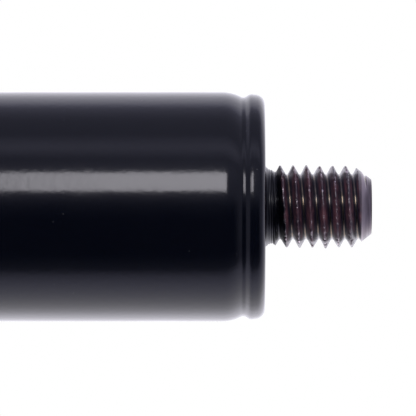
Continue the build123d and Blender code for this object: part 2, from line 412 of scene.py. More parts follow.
def pressure_tube():
    """Tube with both ends rolled, as one closed skin."""
    outside = at_rod_end(rolled_outside()) + at_closed_end(rolled_outside())[::-1]
    inside = at_closed_end(rolled_inside()) + at_rod_end(rolled_inside())[::-1]
    outline = rounded(outside + inside)
    outline = spaced(outline + [outline[0]], longest_span)[:-1]
    inner_r, outer_r = roller_waver_r
    rings = []
    for point in outline:
        depth = min(-point.x, point.x + tube_length)
        share = smooth_step((groove_end - depth) / roller_waver_fade)
        share *= smooth_step((point.y - inner_r) / (outer_r - inner_r))
        ring = ring_points(point.x, point.y, tube_columns)
        for spot in ring:
            waver = noise.noise(spot / roller_waver_size) * roller_waver * share
            spot.yz *= 1 + waver / point.y
        rings.append(ring)
    return make_piece("pressure_tube", *join_rings(rings, closed=True))


def closed_end_plug():
    """Plug with its O-ring groove, the rim that the lip grips, and the stud."""
    wall_r = tube_r - tube_wall - press_gap
    floor_r = tube_r - tube_wall - o_ring_section
    near = o_ring_at - o_ring_groove / 2
    far = o_ring_at + o_ring_groove / 2
    depths = [
        (plug_length, 0),
        (plug_length, wall_r - plug_bevel),
        (plug_length - plug_bevel, wall_r),
        (far, wall_r), (far, floor_r), (near, floor_r), (near, wall_r),
    ] + rolled_inside(press_gap)[::-1] + [(0, neck_radius(0))]
    outline = rounded(at_closed_end(depths))
    return make_piece("closed_end_plug", *with_stud(outline, stud_columns, stud_rows_per_pitch))


def chromed_rod():
    """Rod with the rebound ring's groove, the tail, and its own stud towards -X."""
    seat_r = rod_r - rebound_seat
    along = [
        (tail_x, 0),
        (tail_x, tail_r - tail_bevel),
        (tail_x - tail_bevel, tail_r),
        (shoulder_x, tail_r),
        (shoulder_x, rod_r, shoulder_corner),
        (rebound_x[1], rod_r),
        (rebound_x[1], seat_r),
        (rebound_x[0], seat_r),
        (rebound_x[0], rod_r),
        (rod_seat_x + rod_bevel, rod_r),
        (rod_seat_x, rod_r - rod_bevel),
        (rod_seat_x, neck_radius(0)),
    ]
    outline = rounded([(rod_seat_x - x, *rest) for x, *rest in along])
    outline = spaced(outline, longest_span)
    points, faces = with_stud(outline, rod_columns, rod_rows_per_pitch)
    turned_round = [Vector((rod_seat_x - point.x, -point.y, point.z)) for point in points]
    return make_piece("chromed_rod", turned_round, faces)


# ---------------------------------------------------------------- node helpers

def add_node(tree, kind, **settings):
    """New node with its settings, such as its operation."""
    node = tree.nodes.new(kind)
    for name, value in settings.items():
        setattr(node, name, value)
    return node


def feed(tree, socket, value):
    """Links a socket to another, or sets it to a plain value."""
    if isinstance(value, bpy.types.NodeSocket):
        tree.links.new(value, socket)
    else:
        socket.default_value = value


def calc(tree, operation, *values, clamp=False):
    """Math node on numbers or sockets."""
    node = add_node(tree, "ShaderNodeMath", operation=operation, use_clamp=clamp)
    for socket, value in zip(node.inputs, values):
        feed(tree, socket, value)
    return node.outputs[0]


def remap(tree, value, low, high, to_low=0.0, to_high=1.0):
    """Even curve from to_low to to_high as the value goes from low to high."""
    node = add_node(tree, "ShaderNodeMapRange", interpolation_type="SMOOTHSTEP")
    for socket, number in zip(node.inputs, (value, low, high, to_low, to_high)):
        feed(tree, socket, number)
    return node.outputs[0]


def mix_colours(tree, share, first, second):
    """The first colour where the share is 0, the second where it is 1."""
    node = add_node(tree, "ShaderNodeMix", data_type="RGBA")
    feed(tree, node.inputs["Factor"], share)
    feed(tree, node.inputs[6], first)
    feed(tree, node.inputs[7], second)
    return node.outputs[2]


def mix_values(tree, share, first, second):
    """The first value where the share is 0, the second where it is 1."""
    node = add_node(tree, "ShaderNodeMix", data_type="FLOAT")
    feed(tree, node.inputs["Factor"], share)
    feed(tree, node.inputs["A"], first)
    feed(tree, node.inputs["B"], second)
    return node.outputs[0]


def at_least(tree, value, floor):
    """Squeezes a value from 0 to 1 into one from the floor to 1."""
    return calc(tree, "MULTIPLY_ADD", value, 1 - floor, floor)


def noise_value(tree, point, scale, detail=3.0, roughness=0.55):
    """Noise that is finer as the scale grows, per unit of the point."""
    node = add_node(tree, "ShaderNodeTexNoise")
    feed(tree, node.inputs["Vector"], point)
    feed(tree, node.inputs["Scale"], scale)
    feed(tree, node.inputs["Detail"], detail)
    feed(tree, node.inputs["Roughness"], roughness)
    return node.outputs["Fac"]


def colour(red, green, blue):
    """Opaque colour from its linear shares."""
    return (red, green, blue, 1.0)


def grey(level):
    """Grey of one level."""
    return colour(level, level, level)


def new_group(name, inputs, outputs):
    """Shader node group with named value inputs and outputs; gives the tree and its ends."""
    group = bpy.data.node_groups.new(name, "ShaderNodeTree")
    for label, default in inputs:
        socket = group.interface.new_socket(label, in_out="INPUT", socket_type="NodeSocketFloat")
        socket.default_value = default
    for label, kind in outputs:
        group.interface.new_socket(label, in_out="OUTPUT", socket_type=kind)
    return group, group.nodes.new("NodeGroupInput"), group.nodes.new("NodeGroupOutput")


def use_group(tree, group, **values):
    """Places a group in a material with its own values, and gives its outputs."""
    node = add_node(tree, "ShaderNodeGroup", node_tree=group)
    for name, value in values.items():
        feed(tree, node.inputs[name.replace("_", " ")], value)
    return node.outputs


# ---------------------------------------------------------------- shared effects

def place_group():
    """Place on a turned piece in millimetres: along the axis, off it, and the plain point."""
    group, _, ends = new_group("place_on_axis", [], [
        ("Point", "NodeSocketVector"), ("Along", "NodeSocketFloat"),
        ("Radius", "NodeSocketFloat"), ("Side", "NodeSocketVector"),
        ("Height", "NodeSocketFloat"),
    ])
    where = add_node(group, "ShaderNodeTexCoord")
    point = add_node(group, "ShaderNodeVectorMath", operation="SCALE")
    feed(group, point.inputs[0], where.outputs["Object"])
    point.inputs["Scale"].default_value = 1 / MM
    split = add_node(group, "ShaderNodeSeparateXYZ")
    feed(group, split.inputs[0], point.outputs[0])
    across = add_node(group, "ShaderNodeCombineXYZ")
    feed(group, across.inputs[1], split.outputs[1])
    feed(group, across.inputs[2], split.outputs[2])
    radius = add_node(group, "ShaderNodeVectorMath", operation="LENGTH")
    feed(group, radius.inputs[0], across.outputs[0])
    side = add_node(group, "ShaderNodeVectorMath", operation="NORMALIZE")
    feed(group, side.inputs[0], across.outputs[0])
    feed(group, ends.inputs["Point"], point.outputs[0])
    feed(group, ends.inputs["Along"], split.outputs[0])
    feed(group, ends.inputs["Radius"], radius.outputs["Value"])
    feed(group, ends.inputs["Side"], side.outputs[0])
    feed(group, ends.inputs["Height"], split.outputs[2])
    return group


def lathe_lines_group(place):
    """Fine rings that a tool or a grinding wheel leaves round a turned piece."""
    group, starts, ends = new_group("lathe_lines", [
        ("Lines per mm", 12.0), ("Wander", 1.5), ("Face share", 0.6),
    ], [("Height", "NodeSocketFloat"), ("Shade", "NodeSocketFloat")])
    at = use_group(group, place)
    across = calc(group, "MULTIPLY", at["Radius"], starts.outputs["Face share"])
    reach = calc(group, "ADD", at["Along"], across)
    reach = calc(group, "MULTIPLY", reach, starts.outputs["Lines per mm"])
    wander = add_node(group, "ShaderNodeVectorMath", operation="SCALE")
    feed(group, wander.inputs[0], at["Side"])
    feed(group, wander.inputs["Scale"], starts.outputs["Wander"])
    shift = add_node(group, "ShaderNodeCombineXYZ")
    feed(group, shift.inputs[0], reach)
    total = add_node(group, "ShaderNodeVectorMath", operation="ADD")
    feed(group, total.inputs[0], shift.outputs[0])
    feed(group, total.inputs[1], wander.outputs[0])
    height = noise_value(group, total.outputs[0], scale=1.0, detail=2.0, roughness=0.7)
    shade = noise_value(group, total.outputs[0], scale=0.31, detail=3.0, roughness=0.6)
    feed(group, ends.inputs["Height"], height)
    feed(group, ends.inputs["Shade"], shade)
    return group


def orange_peel_group(place):
    """Soft ripple of sprayed gloss paint, with a finer one on it."""
    group, starts, ends = new_group("orange_peel", [
        ("Ripples per mm", 1.4), ("Fine share", 0.25),
    ], [("Height", "NodeSocketFloat"), ("Cloud", "NodeSocketFloat")])
    times_finer = 4.0
    at = use_group(group, place)
    scale = starts.outputs["Ripples per mm"]
    coarse = noise_value(group, at["Point"], scale, detail=1.0)
    fine_scale = calc(group, "MULTIPLY", scale, times_finer)
    fine = noise_value(group, at["Point"], fine_scale, detail=1.0)
    cloud = noise_value(group, at["Point"], scale=0.12, detail=2.0)
    height = calc(group, "MULTIPLY_ADD", fine, starts.outputs["Fine share"], coarse)
    feed(group, ends.inputs["Height"], height)
    feed(group, ends.inputs["Cloud"], cloud)
    return group


def specks_group(place):
    """Sparse small spots, such as dust, pores or flecks."""
    group, starts, ends = new_group("specks", [
        ("Spots per mm", 2.0), ("Size", 0.16), ("Share", 0.3),
    ], [("Mask", "NodeSocketFloat")])
    at = use_group(group, place)
    cells = add_node(group, "ShaderNodeTexVoronoi")
    feed(group, cells.inputs["Vector"], at["Point"])
    feed(group, cells.inputs["Scale"], starts.outputs["Spots per mm"])
    full_share = 0.6            # share of a spot's radius that is fully covered
    full = calc(group, "MULTIPLY", starts.outputs["Size"], full_share)
    spot = remap(group, cells.outputs["Distance"], starts.outputs["Size"], full)
    pick = add_node(group, "ShaderNodeSeparateColor")
    feed(group, pick.inputs[0], cells.outputs["Color"])
    kept = calc(group, "LESS_THAN", pick.outputs[0], starts.outputs["Share"])
    feed(group, ends.inputs["Mask"], calc(group, "MULTIPLY", spot, kept))
    return group


def patches_group(place):
    """Uneven patches with a soft or hard edge: stains, oil, worn plating."""
    group, starts, ends = new_group("patches", [
        ("Patches per mm", 0.8), ("Level", 0.5), ("Softness", 0.08),
    ], [("Mask", "NodeSocketFloat")])
    at = use_group(group, place)
    scale = starts.outputs["Patches per mm"]
    clouds = noise_value(group, at["Point"], scale, detail=5.0, roughness=0.6)
    low = calc(group, "SUBTRACT", starts.outputs["Level"], starts.outputs["Softness"])
    high = calc(group, "ADD", starts.outputs["Level"], starts.outputs["Softness"])
    feed(group, ends.inputs["Mask"], remap(group, clouds, low, high))
    return group


def edge_wear_group(place):
    """Where a sharp edge has rubbed bare, broken up by noise."""
    group, starts, ends = new_group("edge_wear", [
        ("From", 0.53), ("To", 0.6), ("Breaks per mm", 3.0),
    ], [("Mask", "NodeSocketFloat")])
    at = use_group(group, place)
    surface = add_node(group, "ShaderNodeNewGeometry")
    point = surface.outputs["Pointiness"]
    edge = remap(group, point, starts.outputs["From"], starts.outputs["To"])
    breaks = noise_value(group, at["Point"], starts.outputs["Breaks per mm"], detail=3.0)
    broken = remap(group, breaks, low=0.4, high=0.55)
    feed(group, ends.inputs["Mask"], calc(group, "MULTIPLY", edge, broken))
    return group


place = place_group()
lathe_lines = lathe_lines_group(place)
orange_peel = orange_peel_group(place)
specks = specks_group(place)
patches = patches_group(place)
edge_wear = edge_wear_group(place)


# ---------------------------------------------------------------- materials

# Tones are linear red, green and blue; places on the surface and bumps are in millimetres.
edge_wear_share = 0.3       # how far a rubbed edge turns bright

# Where a finish, a painted highlight or painted shade begins, and where it is there in full
film_r = (root_r + 0.08, root_r + 0.42)
plating_r = (root_r + 0.022, root_r + 0.004)
rubbed_r = (crest_r - 0.10, crest_r - 0.03)
cone_depth = (0.07, 0.02)
cone_x = (tip_bevel_x - 0.28, tip_bevel_x - 0.12)
end_face_x = (stud_length - 0.14, stud_length - 0.1)
# Painted highlight: a paler band along the first edge of the tip's bevel, where its rounded ridge
# catches the light
painted_highlight_rim_x = (tip_bevel_x, tip_bevel_x - 0.1)
# Painted shade: a darker brown line round the tip's outer corner, between its bevel and its end face
corner_shade_x = (stud_length - 0.17, stud_length - 0.1)
corner_shade_r = (tip_face_r - 0.1, tip_face_r)
duller_neck_x = (0.02, 0.12)
rod_stud_x = (rod_seat_x + 0.05, rod_seat_x - 0.05)
rod_tail_x = (shoulder_x - 0.05, shoulder_x + 0.05)
rod_crest_r = (crest_r - 0.15, crest_r - 0.03)
guide_face_x = (-tube_length + 0.5, -tube_length + 0.3)
liner_back_r = (rod_r + 0.3, rod_r + 0.5)


def new_material(name, **uniform):
    """Material with one Principled shader; uniform values are set on its own sockets."""
    material = bpy.data.materials.new(name)
    material.use_nodes = True
    tree = material.node_tree
    shader = tree.nodes["Principled BSDF"]
    for label, value in uniform.items():
        shader.inputs[label.replace("_", " ")].default_value = value
    return material, tree, shader


def raise_bump(tree, shader, height, distance):
    """Bump of a height from 0 to 1, its distance in millimetres."""
    bump = add_node(tree, "ShaderNodeBump")
    bump.inputs["Distance"].default_value = distance * MM
    feed(tree, bump.inputs["Height"], height)
    feed(tree, shader.inputs["Normal"], bump.outputs[0])


def gloss_black(tree):
    """Sockets of the strut's paint: colour, roughness and height."""
    peel = use_group(tree, orange_peel, Ripples_per_mm=1.5, Fine_share=0.22)
    dust = use_group(tree, specks, Spots_per_mm=1.1, Size=0.09, Share=0.12)["Mask"]
    deep = colour(0.0006, 0.0013, 0.0038)
    pale = colour(0.0011, 0.0018, 0.0050)
    dust_grey = colour(0.07, 0.07, 0.075)
    dust_cover = 0.25
    dust_rough_extra = 0.2
    tone = mix_colours(tree, peel["Cloud"], deep, pale)
    tone = mix_colours(tree, calc(tree, "MULTIPLY", dust, dust_cover), tone, dust_grey)
    clean_rough = remap(tree, peel["Cloud"], low=0.3, high=0.7, to_low=0.12, to_high=0.155)
    rough = calc(tree, "MULTIPLY_ADD", dust, dust_rough_extra, clean_rough)
    return tone, rough, peel["Height"]


def black_paint():
    """Gloss paint of the tube."""
    material, tree, shader = new_material("black_paint")
    tone, rough, height = gloss_black(tree)
    feed(tree, shader.inputs["Base Color"], tone)
    feed(tree, shader.inputs["Roughness"], rough)
    raise_bump(tree, shader, height, distance=0.007)
    return material


def oiled_thread(tree, at):
    """Sockets of the thread: burgundy film, black oil, gold plating in the roots, rubbed crests."""
    oil_black = colour(0.007, 0.007, 0.016)
    burgundy = colour(0.120, 0.046, 0.056)
    dull_plating = colour(0.085, 0.075, 0.068)
    gold_plating = colour(0.18, 0.135, 0.078)
    rubbed_bright = colour(0.62, 0.52, 0.55)
    fine_share = 0.3
    least_film = 0.25
    oil_rough = 0.30
    film_rough = 0.46
    metal_rough = 0.2

    film = use_group(tree, patches, Patches_per_mm=0.9, Level=0.5, Softness=0.12)["Mask"]
    fine = use_group(tree, patches, Patches_per_mm=4.0, Level=0.52, Softness=0.1)["Mask"]
    film = mix_values(tree, fine_share, film, fine)
    streaks = use_group(tree, lathe_lines, Lines_per_mm=1.7, Wander=2.6, Face_share=5.0)["Shade"]
    streaks = remap(tree, streaks, low=0.38, high=0.6)
    upper = remap(tree, at["Radius"], *film_r)
    film = calc(tree, "MULTIPLY", at_least(tree, film, least_film),
                at_least(tree, streaks, least_film))
    film = calc(tree, "MULTIPLY", film, upper)
    tone = mix_colours(tree, film, oil_black, burgundy)

    root = remap(tree, at["Radius"], *plating_r)
    kept = use_group(tree, patches, Patches_per_mm=0.7, Level=0.5, Softness=0.15)["Mask"]
    tone = mix_colours(tree, root, tone, mix_colours(tree, kept, dull_plating, gold_plating))

    crest = remap(tree, at["Radius"], *rubbed_r)
    rubbed = use_group(tree, patches, Patches_per_mm=3.2, Level=0.6, Softness=0.05)["Mask"]
    bright = calc(tree, "MULTIPLY", crest, rubbed)
    tone = mix_colours(tree, bright, tone, rubbed_bright)

    metal = calc(tree, "MAXIMUM", bright, root)
    rough = mix_values(tree, film, oil_rough, film_rough)
    rough = mix_values(tree, metal, rough, metal_rough)
    return tone, rough, metal


def turned_tip(tree, at):
    """Sockets of the stud's tip, bare steel with turned lines, a painted highlight along its bevel's
    edge and painted shade at its outer corner: where it is, colour and height.
    """
    dark_line = colour(0.060, 0.046, 0.054)
    pale_line = colour(0.26, 0.22, 0.24)
    painted_highlight_rim = colour(0.27, 0.225, 0.245)
    painted_corner_shade = colour(0.045, 0.022, 0.026)

    limit = calc(tree, "MULTIPLY_ADD", at["Along"], -tip_bevel_slope,
                 tip_bevel_r + tip_bevel_slope * tip_bevel_x)
    off_cone = calc(tree, "SUBTRACT", limit, at["Radius"])
    on_cone = remap(tree, off_cone, *cone_depth)
    past = remap(tree, at["Along"], *cone_x)
    face = remap(tree, at["Along"], *end_face_x)
    tip = calc(tree, "MAXIMUM", calc(tree, "MULTIPLY", on_cone, past), face)

    lines = use_group(tree, lathe_lines, Lines_per_mm=16.0, Wander=0.8, Face_share=1.0)
    shade = remap(tree, lines["Shade"], low=0.36, high=0.62)
    tone = mix_colours(tree, shade, dark_line, pale_line)
    # Painted highlight: paler colour along the bevel's first edge, for light that the ridge catches
    rim = remap(tree, at["Along"], *painted_highlight_rim_x)
    tone = mix_colours(tree, rim, tone, painted_highlight_rim)
    # Painted shade: darker brown at the tip's outer corner
    near_end = remap(tree, at["Along"], *corner_shade_x)
    near_edge = remap(tree, at["Radius"], *corner_shade_r)
    tone = mix_colours(tree, calc(tree, "MULTIPLY", near_end, near_edge), tone, painted_corner_shade)
    return tip, tone, lines["Height"]


def painted_part(tree, at):
    """Mask of the paint, whose ragged edge leans over the first turns."""
    ragged = noise_value(tree, at["Point"], scale=2.2, detail=4.0, roughness=0.6)
    edge = calc(tree, "MULTIPLY_ADD", at["Height"], -paint_edge_lean / crest_r, paint_edge_x)
    edge = calc(tree, "MULTIPLY_ADD", ragged, paint_edge_ragged, edge)
    past_edge = calc(tree, "SUBTRACT", at["Along"], edge)
    return remap(tree, past_edge, paint_edge_soft, -paint_edge_soft)


def painted_plug():
    """Paint on the seat and neck, then dark oiled thread and a turned tip."""
    material, tree, shader = new_material("painted_plug", Coat_Roughness=0.2)
    neck_rough_extra = 0.16
    tip_rough = 0.42
    tip_metal = 0.9
    oil_coat = 0.5
    paint_height_share = 0.8

    at = use_group(tree, place)
    paint_tone, paint_rough, paint_height = gloss_black(tree)
    thread_tone, thread_rough, thread_metal = oiled_thread(tree, at)
    tip, tip_tone, tip_height = turned_tip(tree, at)
    painted = painted_part(tree, at)
    bare = calc(tree, "SUBTRACT", 1.0, painted)

    bare_tone = mix_colours(tree, tip, thread_tone, tip_tone)
    feed(tree, shader.inputs["Base Color"], mix_colours(tree, painted, bare_tone, paint_tone))

    on_neck = remap(tree, at["Along"], *duller_neck_x, to_high=neck_rough_extra)
    paint_rough = calc(tree, "ADD", paint_rough, on_neck)
    bare_rough = mix_values(tree, tip, thread_rough, tip_rough)
    feed(tree, shader.inputs["Roughness"], mix_values(tree, painted, bare_rough, paint_rough))

    metal = calc(tree, "MAXIMUM", thread_metal, calc(tree, "MULTIPLY", tip, tip_metal))
    feed(tree, shader.inputs["Metallic"], calc(tree, "MULTIPLY", metal, bare))
    feed(tree, shader.inputs["Coat Weight"], calc(tree, "MULTIPLY", bare, oil_coat))

    grit = noise_value(tree, at["Point"], scale=9.0, detail=4.0, roughness=0.65)
    bare_height = mix_values(tree, tip, grit, tip_height)
    paint_height = calc(tree, "MULTIPLY", paint_height, paint_height_share)
    height = mix_values(tree, painted, bare_height, paint_height)
    raise_bump(tree, shader, height, distance=0.012)
    return material


def hard_chrome():
    """Ground and chromed rod; its stud and its tail are bare steel."""
    material, tree, shader = new_material("hard_chrome", Metallic=1.0)
    dull_chrome = colour(0.60, 0.61, 0.64)
    bright_chrome = colour(0.70, 0.71, 0.74)
    dry_steel = colour(0.23, 0.21, 0.205)
    oiled_steel = colour(0.12, 0.10, 0.095)
    crest_steel = colour(0.46, 0.44, 0.43)
    dry_rough = 0.09
    oily_rough = 0.13
    line_rough_extra = 0.04
    steel_rough = 0.36

    at = use_group(tree, place)
    lines = use_group(tree, lathe_lines, Lines_per_mm=22.0, Wander=1.2, Face_share=1.0)
    oil = use_group(tree, patches, Patches_per_mm=0.25, Level=0.56, Softness=0.1)["Mask"]
    chrome = mix_colours(tree, lines["Shade"], dull_chrome, bright_chrome)
    steel = mix_colours(tree, oil, dry_steel, oiled_steel)
    crest = remap(tree, at["Radius"], *rod_crest_r)
    steel = mix_colours(tree, crest, steel, crest_steel)
    on_stud = remap(tree, at["Along"], *rod_stud_x)
    on_tail = remap(tree, at["Along"], *rod_tail_x)
    bare = calc(tree, "MAXIMUM", on_stud, on_tail)
    feed(tree, shader.inputs["Base Color"], mix_colours(tree, bare, chrome, steel))
    rough = mix_values(tree, oil, dry_rough, oily_rough)
    rough = calc(tree, "MULTIPLY_ADD", lines["Shade"], line_rough_extra, rough)
    feed(tree, shader.inputs["Roughness"], mix_values(tree, bare, rough, steel_rough))
    raise_bump(tree, shader, lines["Height"], distance=0.0012)
    return material


def plated(name, dark, light, rough, lines_per_mm):
    """Plated or blank sheet metal with cutting lines, stains and rubbed edges."""
    material, tree, shader = new_material(name, Metallic=1.0)
    rubbed_edge = colour(0.72, 0.72, 0.73)
    stain_rough_extra = 0.12
    lines = use_group(tree, lathe_lines, Lines_per_mm=lines_per_mm, Wander=3.0, Face_share=1.0)
    stain = use_group(tree, patches, Patches_per_mm=0.4, Level=0.52, Softness=0.14)["Mask"]
    worn = use_group(tree, edge_wear, From=0.52, To=0.6, Breaks_per_mm=4.0)["Mask"]
    worn = calc(tree, "MULTIPLY", worn, edge_wear_share)
    tone = mix_colours(tree, stain, dark, light)
    tone = mix_colours(tree, worn, tone, rubbed_edge)
    feed(tree, shader.inputs["Base Color"], tone)
    feed(tree, shader.inputs["Roughness"], mix_values(tree, stain, rough, rough + stain_rough_extra))
    raise_bump(tree, shader, lines["Height"], distance=0.003)
    return material


def zinc_plate():
    """Blue-white zinc on the washers and the nut."""
    dark = colour(0.50, 0.53, 0.60)
    light = colour(0.62, 0.62, 0.60)
    return plated("zinc_plate", dark, light, rough=0.24, lines_per_mm=7.0)


def spring_steel():
    """Blank hardened strip of the check disc."""
    dark = colour(0.23, 0.25, 0.31)
    light = colour(0.36, 0.34, 0.33)
    return plated("spring_steel", dark, light, rough=0.30, lines_per_mm=11.0)


def sintered_steel():
    """Pressed and steam-treated powder metal: grey-blue, open pores."""
    material, tree, shader = new_material("sintered_steel")
    dark_grain = colour(0.085, 0.09, 0.105)
    pale_grain = colour(0.17, 0.17, 0.18)
    pore_black = colour(0.02, 0.02, 0.022)
    rubbed_edge = colour(0.42, 0.42, 0.43)
    grain_metal = 0.85
    pore_metal = 0.25
    dark_rough = 0.42
    pale_rough = 0.62

    at = use_group(tree, place)
    pores = use_group(tree, specks, Spots_per_mm=5.5, Size=0.34, Share=0.6)["Mask"]
    grain = noise_value(tree, at["Point"], scale=6.0, detail=4.0, roughness=0.7)
    worn = use_group(tree, edge_wear, From=0.52, To=0.62, Breaks_per_mm=7.0)["Mask"]
    worn = calc(tree, "MULTIPLY", worn, edge_wear_share)
    tone = mix_colours(tree, grain, dark_grain, pale_grain)
    tone = mix_colours(tree, pores, tone, pore_black)
    tone = mix_colours(tree, worn, tone, rubbed_edge)
    feed(tree, shader.inputs["Base Color"], tone)
    feed(tree, shader.inputs["Metallic"], mix_values(tree, pores, grain_metal, pore_metal))
    feed(tree, shader.inputs["Roughness"], mix_values(tree, grain, dark_rough, pale_rough))
    raise_bump(tree, shader, calc(tree, "SUBTRACT", grain, pores), distance=0.02)
    return material


def guide_aluminium():
    """Turned aluminium, with the tube's paint over the face that shows."""
    material, tree, shader = new_material("guide_aluminium")
    dark_turned = colour(0.60, 0.61, 0.62)
    pale_turned = colour(0.80, 0.81, 0.82)
    turned_rough = 0.27

    at = use_group(tree, place)
    lines = use_group(tree, lathe_lines, Lines_per_mm=9.0, Wander=0.6, Face_share=1.0)
    paint_tone, paint_rough, paint_height = gloss_black(tree)
    bare_tone = mix_colours(tree, lines["Shade"], dark_turned, pale_turned)
    on_face = remap(tree, at["Along"], *guide_face_x)
    feed(tree, shader.inputs["Base Color"], mix_colours(tree, on_face, bare_tone, paint_tone))
    feed(tree, shader.inputs["Roughness"], mix_values(tree, on_face, turned_rough, paint_rough))
    feed(tree, shader.inputs["Metallic"], calc(tree, "SUBTRACT", 1.0, on_face))
    height = mix_values(tree, on_face, lines["Height"], paint_height)
    raise_bump(tree, shader, height, distance=0.005)
    return material


def liner_bronze():
    """Bronze bush whose grey sliding layer has begun to show bronze."""
    material, tree, shader = new_material("liner_bronze")
    layer_grey = grey(0.10)
    dark_bronze = colour(0.50, 0.30, 0.14)
    pale_bronze = colour(0.62, 0.40, 0.20)
    layer_metal = 0.2
    layer_rough = 0.5
    bronze_rough = 0.3

    at = use_group(tree, place)
    shows = use_group(tree, patches, Patches_per_mm=1.1, Level=0.55, Softness=0.06)["Mask"]
    outside = remap(tree, at["Radius"], *liner_back_r)
    bronze = calc(tree, "MAXIMUM", shows, outside)
    lines = use_group(tree, lathe_lines, Lines_per_mm=6.0, Wander=0.8, Face_share=1.0)
    warm = mix_colours(tree, lines["Shade"], dark_bronze, pale_bronze)
    feed(tree, shader.inputs["Base Color"], mix_colours(tree, bronze, layer_grey, warm))
    feed(tree, shader.inputs["Metallic"], mix_values(tree, bronze, layer_metal, 1.0))
    feed(tree, shader.inputs["Roughness"], mix_values(tree, bronze, layer_rough, bronze_rough))
    raise_bump(tree, shader, lines["Height"], distance=0.004)
    return material


def moulded(name, dark, light, fleck, fleck_share, rough, **uniform):
    """Moulded or turned plastic and rubber: soft mottling, flecks and fine tool lines."""
    material, tree, shader = new_material(name, **uniform)
    smoother = 0.06
    rougher = 0.08
    mottle_height = 0.5
    at = use_group(tree, place)
    mottle = noise_value(tree, at["Point"], scale=1.3, detail=4.0)
    flecks = use_group(tree, specks, Spots_per_mm=4.5, Size=0.22, Share=fleck_share)["Mask"]
    lines = use_group(tree, lathe_lines, Lines_per_mm=8.0, Wander=1.0, Face_share=1.0)
    tone = mix_colours(tree, mottle, dark, light)
    tone = mix_colours(tree, flecks, tone, fleck)
    feed(tree, shader.inputs["Base Color"], tone)
    rough = mix_values(tree, mottle, rough - smoother, rough + rougher)
    feed(tree, shader.inputs["Roughness"], rough)
    height = calc(tree, "MULTIPLY_ADD", mottle, mottle_height, lines["Height"])
    raise_bump(tree, shader, height, distance=0.004)
    return material


def ptfe_bronze():
    """Brown low-friction plastic filled with bronze."""
    dark = colour(0.16, 0.10, 0.05)
    light = colour(0.24, 0.16, 0.09)
    bronze = colour(0.62, 0.40, 0.17)
    return moulded("ptfe_bronze", dark, light, bronze, fleck_share=0.55, rough=0.46)


def acetal():
    """Cream, slightly translucent plastic."""
    dark = colour(0.74, 0.72, 0.66)
    light = colour(0.82, 0.80, 0.74)
    dull = colour(0.60, 0.58, 0.52)
    return moulded("acetal", dark, light, dull, fleck_share=0.05, rough=0.36,
                   Subsurface_Weight=0.15, Subsurface_Scale=0.0008)


def polyurethane():
    """Blue seal plastic."""
    dark = colour(0.012, 0.055, 0.15)
    light = colour(0.02, 0.085, 0.21)
    pale = colour(0.03, 0.10, 0.22)
    return moulded("polyurethane", dark, light, pale, fleck_share=0.1, rough=0.34)


def nitrile_rubber():
    """Black rubber with a grey bloom."""
    dark = colour(0.010, 0.010, 0.011)
    light = colour(0.022, 0.022, 0.023)
    bloom = grey(0.05)
    return moulded("nitrile_rubber", dark, light, bloom, fleck_share=0.2, rough=0.52)


def wool_felt():
    """Pressed wool soaked with grease: crossing fibres, darker wet patches."""
    material, tree, shader = new_material("wool_felt", Sheen_Weight=0.35, Sheen_Roughness=0.4)
    dry_gap = colour(0.30, 0.26, 0.19)
    dry_fibre = colour(0.60, 0.54, 0.43)
    wet_gap = colour(0.14, 0.11, 0.06)
    wet_fibre = colour(0.33, 0.27, 0.16)
    dry_rough = 0.92
    wet_rough = 0.5

    at = use_group(tree, place)
    fibres = add_node(tree, "ShaderNodeTexNoise")
    feed(tree, fibres.inputs["Vector"], at["Point"])
    fibres.inputs["Scale"].default_value = 7.0
    fibres.inputs["Detail"].default_value = 5.0
    fibres.inputs["Distortion"].default_value = 2.2
    strands = remap(tree, fibres.outputs["Fac"], low=0.35, high=0.65)
    wet = use_group(tree, patches, Patches_per_mm=0.5, Level=0.48, Softness=0.15)["Mask"]
    dry_tone = mix_colours(tree, strands, dry_gap, dry_fibre)
    wet_tone = mix_colours(tree, strands, wet_gap, wet_fibre)
    feed(tree, shader.inputs["Base Color"], mix_colours(tree, wet, dry_tone, wet_tone))
    feed(tree, shader.inputs["Roughness"], mix_values(tree, wet, dry_rough, wet_rough))
    raise_bump(tree, shader, strands, distance=0.06)
    return material


# ---------------------------------------------------------------- the strut

def dress(node, finish):
    """Gives a CAD node its finish."""
    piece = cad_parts[node]
    piece.data.materials.clear()
    piece.data.materials.append(finish)


def fit(piece, body, node, finish):
    """Puts a new piece in a CAD node's place, on its body, with its finish."""
    piece.data.materials.append(finish)
    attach(piece, body)
    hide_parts(node)


fit(pressure_tube(), "cylinder", "cylinder_tube", black_paint())
fit(closed_end_plug(), "cylinder", "end_plug", painted_plug())
fit(chromed_rod(), "rod", "piston_rod", hard_chrome())

finishes = {
    zinc_plate: ("cap_washer", "seal_washer", "front_washer", "rear_washer", "piston_nut"),
    polyurethane: ("wiper_ring", "rebound_ring"),
    wool_felt: ("grease_felt",),
    guide_aluminium: ("rod_guide",),
    liner_bronze: ("guide_liner",),
    nitrile_rubber: ("end_plug_o_ring", "guide_o_ring", "rod_seal"),
    acetal: ("backup_ring",),
    spring_steel: ("check_disc",),
    sintered_steel: ("piston",),
    ptfe_bronze: ("piston_ring",),
}
for make, nodes in finishes.items():
    finish = make()
    for node in nodes:
        dress(node, finish)


# ---------------------------------------------------------------- studio

# Lengths in the studio are in metres, but the view's and the sensor's in millimetres.
camera_distance = 0.5
view_width = 39.96          # how much the view takes in where the strut is
view_centre_x = -5.43
view_centre_z = -0.12
sensor_width = 36.0

key_distance = 0.6
key_elevation = 24.9        # degrees above the strut's front
key_height = 0.198
key_tint = (1.0, 0.97, 1.04)
# From, to and radiance of the softbox's two stretches along the strut
key_spans = {"key_right": (-0.046, 0.125, 5.9), "key_left": (-0.42, -0.046, 3.8)}

floor_drop = 0.029
floor_half_length = 0.55
floor_front = -0.5
floor_back = 0.22
floor_cells = (24, 16)
floor_fade = (0.5, 0.3)     # from the middle, in shares of its size: where it is gone, and solid
floor_glow = 0.30

